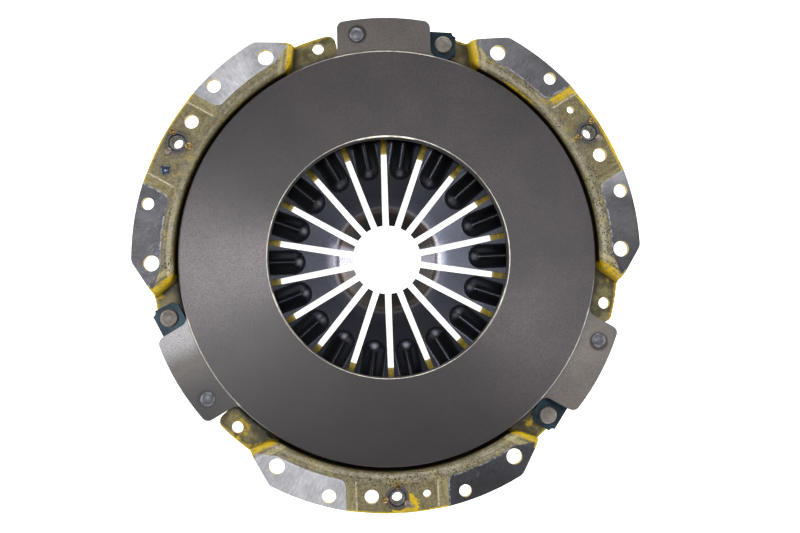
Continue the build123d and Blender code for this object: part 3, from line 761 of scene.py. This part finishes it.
class CLUTCH_OT_stage(bpy.types.Operator):
    """Make the floor, the camera and the lights"""
    bl_idname = "clutch.stage"
    bl_label = "Stage"

    def execute(self, context):
        scene = context.scene
        camera = bpy.data.objects.new("camera", bpy.data.cameras.new("camera"))
        scene.collection.objects.link(camera)
        camera.data.sensor_width = SENSOR_WIDTH
        camera.data.lens = SENSOR_WIDTH * FOCAL_PIXELS / PICTURE_WIDTH
        camera.data.clip_start, camera.data.clip_end = 0.05, 20.0
        turn = Euler([radians(angle) for angle in CAMERA_TURN])
        camera.matrix_world = Matrix.Translation(CAMERA_PLACE) @ turn.to_matrix().to_4x4()
        scene.camera = camera
        scene.view_settings.view_transform = "Standard"

        floor_shape = bmesh.new()
        bmesh.ops.create_grid(floor_shape, x_segments=1, y_segments=1, size=3.0)
        mesh = bpy.data.meshes.new("floor")
        floor_shape.to_mesh(mesh)
        floor_shape.free()
        mesh.transform(Matrix.Translation((0, 0, CAD_BOX[0].z - 0.0002)))
        floor = bpy.data.objects.new("floor", mesh)
        scene.collection.objects.link(floor)
        look = Finish("floor_white")
        look.place()
        glow = look.spread(look.radius, 150.0, 420.0, 1.0, 0.45)
        mesh.materials.append(look.set(base_color=(0.9, 0.9, 0.9), roughness=0.8,
                                       emission_color=(1.0, 1.0, 1.0), emission_strength=glow))

        world = bpy.data.worlds.new("studio")
        scene.world = world
        world.use_nodes = True
        sky = world.node_tree.nodes["Background"]
        sky.inputs[0].default_value = (1.0, 1.0, 1.0, 1.0)
        sky.inputs[1].default_value = 0.15
        # Lamps: name, place and two sides in metres, power in watts
        for name, place, width, depth, power in (
                ("box_left", (-1.2, 0.0, 0.45), 1.4, 0.75, 10.0),
                ("box_right", (1.2, 0.0, 0.45), 1.4, 0.75, 10.0),
                ("box_back", (0.0, 1.2, 0.45), 1.4, 0.75, 11.0),
                ("box_front", (0.0, -1.2, 0.45), 1.4, 0.75, 9.0),
                ("strip_left", (-0.30, 0.02, 1.5), 0.24, 0.13, 4.4),
                ("strip_right", (0.36, 0.08, 1.5), 0.24, 0.13, 1.8)):
            light = bpy.data.lights.new(name, "AREA")
            light.shape = "RECTANGLE"
            light.size, light.size_y, light.energy = width, depth, power
            lamp = bpy.data.objects.new(name, light)
            lamp.location = place
            lamp.rotation_euler = (Vector((0, 0, -0.02)) - Vector(place)).to_track_quat("-Z", "Y").to_euler()
            scene.collection.objects.link(lamp)
        return {"FINISHED"}


class CLUTCH_OT_finishes(bpy.types.Operator):
    """Give the plate, the spring and the rings their materials"""
    bl_idname = "clutch.finishes"
    bl_label = "Finishes"

    def execute(self, context):
        nodes = frame["nodes"]
        dress(nodes["pressure_plate"], plate_finish())
        spring = spring_finish()
        for name in FINGERS:
            dress(nodes[name], spring)
        ring = steel_finish("ring_drawn_wire", tone(120, 120, 124), tone(160, 160, 164), 0.9, 0.25, 0.4)
        for name in ("fulcrum_ring_rear", "fulcrum_ring_front"):
            dress(nodes[name], ring)
        return {"FINISHED"}


class CLUTCH_OT_cover(bpy.types.Operator):
    """Make the cover, with its flange ends drawn in behind the chamfered corners"""
    bl_idname = "clutch.cover"
    bl_label = "Cover"

    def execute(self, context):
        (cut_along, cut_across), (out_along, out_across) = CUT_CORNER
        shape = bmesh.new()
        shape.from_mesh(frame["nodes"]["cover"].data)
        bmesh.ops.remove_doubles(shape, verts=shape.verts, dist=JOIN)
        for vert in shape.verts:
            radius, turn = vert.co.xy.length / MM, atan2(vert.co.y, vert.co.x)
            middle = min((radians(angle) for angle in GROUP_ANGLES), key=lambda angle: 1 - cos(turn - angle))
            along, across = radius * cos(turn - middle), radius * sin(turn - middle)
            side = 1 if across > 0 else -1
            beyond = (along - cut_along) * out_along + (abs(across) - cut_across) * out_across
            # All the way in above -10 mm, and not at all below -19 mm, next to the ear
            share = min(max((vert.co.z / MM + 19.0) / 9.0, 0.0), 1.0)
            if abs(across) < 76.0 or beyond < 0 or share == 0:
                continue
            along -= out_along * beyond * share
            across -= out_across * beyond * share * side
            vert.co.x = (along * cos(middle) - across * sin(middle)) * MM
            vert.co.y = (along * sin(middle) + across * cos(middle)) * MM
        piece = new_piece("cover_shell", shape, cover_finish())
        piece.data.set_sharp_from_angle(angle=radians(24.0))
        piece.modifiers.new("even_shading", "WEIGHTED_NORMAL").keep_sharp = True
        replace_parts(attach(piece, "cover"), "cover")
        return {"FINISHED"}


class CLUTCH_OT_straps(bpy.types.Operator):
    """Make the nine strap leaves, each cut into short bands between its rivets"""
    bl_idname = "clutch.straps"
    bl_label = "Drive straps"

    def execute(self, context):
        material = strap_finish()
        step = sizes().strap_step
        for pack, turn in enumerate(PACK_TURNS, 1):
            first = polar(LUG_RIVET[0], LUG_RIVET[1] + turn)
            last = polar(STRAP_RIVET[0], STRAP_RIVET[1] + turn)
            along = (last - first).normalized()
            start, end = first + along * FREE_FROM_LUG * MM, last - along * FREE_FROM_EAR * MM
            for leaf in (1, 2, 3):
                name = f"drive_strap_{pack}_leaf_{leaf}"
                shape = bmesh.new()
                shape.from_mesh(frame["nodes"][name].data)
                bmesh.ops.remove_doubles(shape, verts=shape.verts, dist=JOIN)
                for index in range(int((end - start).length / step) + 1):
                    geometry = shape.verts[:] + shape.edges[:] + shape.faces[:]
                    bmesh.ops.bisect_plane(shape, geom=geometry, plane_co=start + along * step * index,
                                           plane_no=along, dist=FINE_JOIN)
                piece = new_piece(f"strap_{pack}_leaf_{leaf}", shape, material)
                for face in piece.data.polygons:
                    face.use_smooth = False
                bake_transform(piece)
                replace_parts(piece, name)
        return {"FINISHED"}


class CLUTCH_OT_rivets(bpy.types.Operator):
    """Make the lug, strap, fulcrum and balance rivets with their formed heads"""
    bl_idname = "clutch.rivets"
    bl_label = "Rivets"

    def execute(self, context):
        dull = steel_finish("rivet_dull", tone(96, 97, 104), tone(118, 119, 126), 0.6, 0.34, 0.46)
        warm = steel_finish("strap_rivet_warm", tone(126, 118, 112), tone(146, 138, 131), 0.35, 0.36, 0.48)
        dark = steel_finish("balance_rivet_dark", tone(66, 76, 87), tone(84, 95, 107), 0.65, 0.2, 0.28)
        plated = steel_finish("fulcrum_rivet_plated", tone(130, 112, 40), tone(168, 148, 66), 0.7, 0.3, 0.45)

        top, bottom = ends("lug_rivets")
        head = sizes().lug_head / MM
        outline = rivet_outline([(0, top), (head * 0.45, top - 0.1), (head * 0.82, top - 0.5),
                                 (head, top - 1.1)], 2.95, -5.72, -16.2,
                                [(5.0, bottom + 0.7), (4.2, bottom + 0.1), (2.6, bottom), (0, bottom)])
        piece = rivet_piece("lug_rivet_heads", outline, in_each_pack(LUG_RIVET), dull, 0.25)
        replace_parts(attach(piece, "pressure_plate"), "lug_rivets")

        top, bottom = ends("strap_cover_rivets")
        head = sizes().strap_head / MM
        outline = rivet_outline([(0, top - 0.35), (head * 0.6, top - 0.3), (head * 0.74, top),
                                 (head * 0.88, top), (head, top - 0.7)], 3.95, -19.08, -25.62,
                                [(5.4, bottom + 0.8), (4.5, bottom), (0, bottom)])
        piece = rivet_piece("strap_rivet_heads", outline, in_each_pack(STRAP_RIVET), warm, 0.2)
        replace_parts(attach(piece, "cover"), "strap_cover_rivets")

        top, bottom = ends("fulcrum_rivets")
        outline = rivet_outline([(0, top), (4.6, top), (6.3, top - 0.5), (6.8, top - 1.1)],
                                3.45, top - 2.18, bottom + 2.42,
                                [(6.0, bottom + 1.0), (5.2, bottom + 0.25), (3.4, bottom), (0, bottom)])
        places = [upright_at(FULCRUM_RIVET_RADIUS, GROUP_ANGLES[0] + 40.0 * index) for index in range(9)]
        piece = rivet_piece("fulcrum_rivet_set", outline, places, plated, 0.25)
        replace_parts(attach(piece, "cover"), "fulcrum_rivets")

        top, bottom = ends("balance_rivet")
        dome = [(3.25 * sin(radians(bow)), top - 1.4 * (1 - cos(radians(bow)))) for bow in range(0, 91, 9)]
        outline = rivet_outline(dome, 2.2, -1.42, -5.38, [(3.25, bottom + 0.5), (2.6, bottom), (0, bottom)])
        piece = rivet_piece("balance_rivet_dome", outline, [upright_at(*BALANCE_RIVET)], dark)
        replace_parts(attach(piece, "cover"), "balance_rivet")
        return {"FINISHED"}


class CLUTCH_OT_weld_nuts(bpy.types.Operator):
    """Make the threaded weld nuts and the beads that hold them"""
    bl_idname = "clutch.weld_nuts"
    bl_label = "Weld nuts"

    # Three lumpy beads at each nut: direction in degrees, distance in millimetres, share of the size and
    # 1 for grey or 0 for gold
    beads = (((206, 7.0, 1.0, 0), (334, 7.4, 0.9, 1), (76, 7.6, 0.85, 0)),
             ((110, 7.2, 0.95, 0), (345, 7.4, 1.0, 0), (225, 7.2, 0.9, 1)),
             ((92, 7.4, 0.95, 0), (190, 7.3, 0.9, 0), (330, 7.4, 1.0, 1)))

    def execute(self, context):
        burnt = steel_finish("nut_burnt", tone(92, 90, 92), tone(126, 124, 124), 0.5, 0.38, 0.55)
        top, bottom = ends("weld_nuts")
        outline = [(3.3, top - 0.5), (3.8, top), (5.2, top), (5.2, -5.42), (7.5, -5.42), (7.5, -6.9),
                   (6.5, -6.9), (6.5, bottom), (3.8, bottom), (3.3, bottom + 0.5)]
        ridges = sizes().thread_turns
        pitch = (top - bottom - 1.0) / ridges
        for index in range(ridges):
            outline += [(3.7, bottom + 0.5 + (index + 0.5) * pitch),
                        (3.3, bottom + 0.5 + (index + 1) * pitch)]
        one = turned(outline[:-1] + [outline[0]], steps=48)
        places = [upright_at(NUT_RADIUS, angle) for angle in GROUP_ANGLES]
        piece = new_piece("weld_nut_set", placed_copies(one, places), burnt)
        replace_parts(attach(piece, "cover"), "weld_nuts")

        gold = steel_finish("bead_gold", tone(88, 72, 44), tone(158, 132, 86), 0.75, 0.22, 0.36)
        grey = steel_finish("bead_grey", tone(104, 94, 84), tone(156, 144, 130), 0.55, 0.3, 0.44)
        for group, beads in zip(GROUP_ANGLES, self.beads):
            centre = polar(NUT_RADIUS, group, -1.4)
            for number, (angle, distance, share, is_grey) in enumerate(beads, 1):
                shape = bmesh.new()
                bmesh.ops.create_icosphere(shape, subdivisions=3, radius=sizes().bead * share)
                for vert in shape.verts:
                    vert.co *= 1.0 + 0.25 * noise.noise(vert.co * 420 + Vector((group, angle, 0)))
                bmesh.ops.scale(shape, vec=(1.05, 0.95, 0.5), verts=shape.verts)
                where = centre + polar(distance, angle)
                bmesh.ops.rotate(shape, cent=(0, 0, 0), matrix=Matrix.Rotation(radians(angle), 3, "Z"),
                                 verts=shape.verts)
                bmesh.ops.translate(shape, vec=where, verts=shape.verts)
                bead = new_piece(f"weld_bead_{int(group)}_{number}", shape, grey if is_grey else gold)
                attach(bead, "cover")
        return {"FINISHED"}


class CLUTCH_PT_panel(bpy.types.Panel):
    """Lists the pieces and the sizes of the clutch cover assembly"""
    bl_idname = "CLUTCH_PT_panel"
    bl_label = "Clutch pressure plate"
    bl_space_type = "VIEW_3D"
    bl_region_type = "UI"
    bl_category = "Clutch"

    def draw(self, context):
        layout = self.layout
        for operator in OPERATORS:
            layout.operator(operator.bl_idname)
        for group in (context.scene.clutch_sizes, context.scene.clutch_colours):
            for name in group.bl_rna.properties.keys():
                if name not in {"rna_type", "name"}:
                    layout.prop(group, name)


OPERATORS = (CLUTCH_OT_stage, CLUTCH_OT_finishes, CLUTCH_OT_cover, CLUTCH_OT_straps, CLUTCH_OT_rivets,
             CLUTCH_OT_weld_nuts)
CLASSES = (ClutchSizes, ClutchColours, *OPERATORS, CLUTCH_PT_panel)


def register():
    for item in CLASSES:
        bpy.utils.register_class(item)
    bpy.types.Scene.clutch_sizes = PointerProperty(type=ClutchSizes)
    bpy.types.Scene.clutch_colours = PointerProperty(type=ClutchColours)


def unregister():
    del bpy.types.Scene.clutch_colours
    del bpy.types.Scene.clutch_sizes
    for item in reversed(CLASSES):
        bpy.utils.unregister_class(item)


def main():
    for item in list(bpy.data.objects):
        if item.name in {"Cube", "Light", "Camera"}:
            bpy.data.objects.remove(item)
    register()
    bpy.ops.clutch.stage()
    bpy.ops.clutch.finishes()
    bpy.ops.clutch.cover()
    bpy.ops.clutch.straps()
    bpy.ops.clutch.rivets()
    bpy.ops.clutch.weld_nuts()


if __name__ == "__main__":
    main()
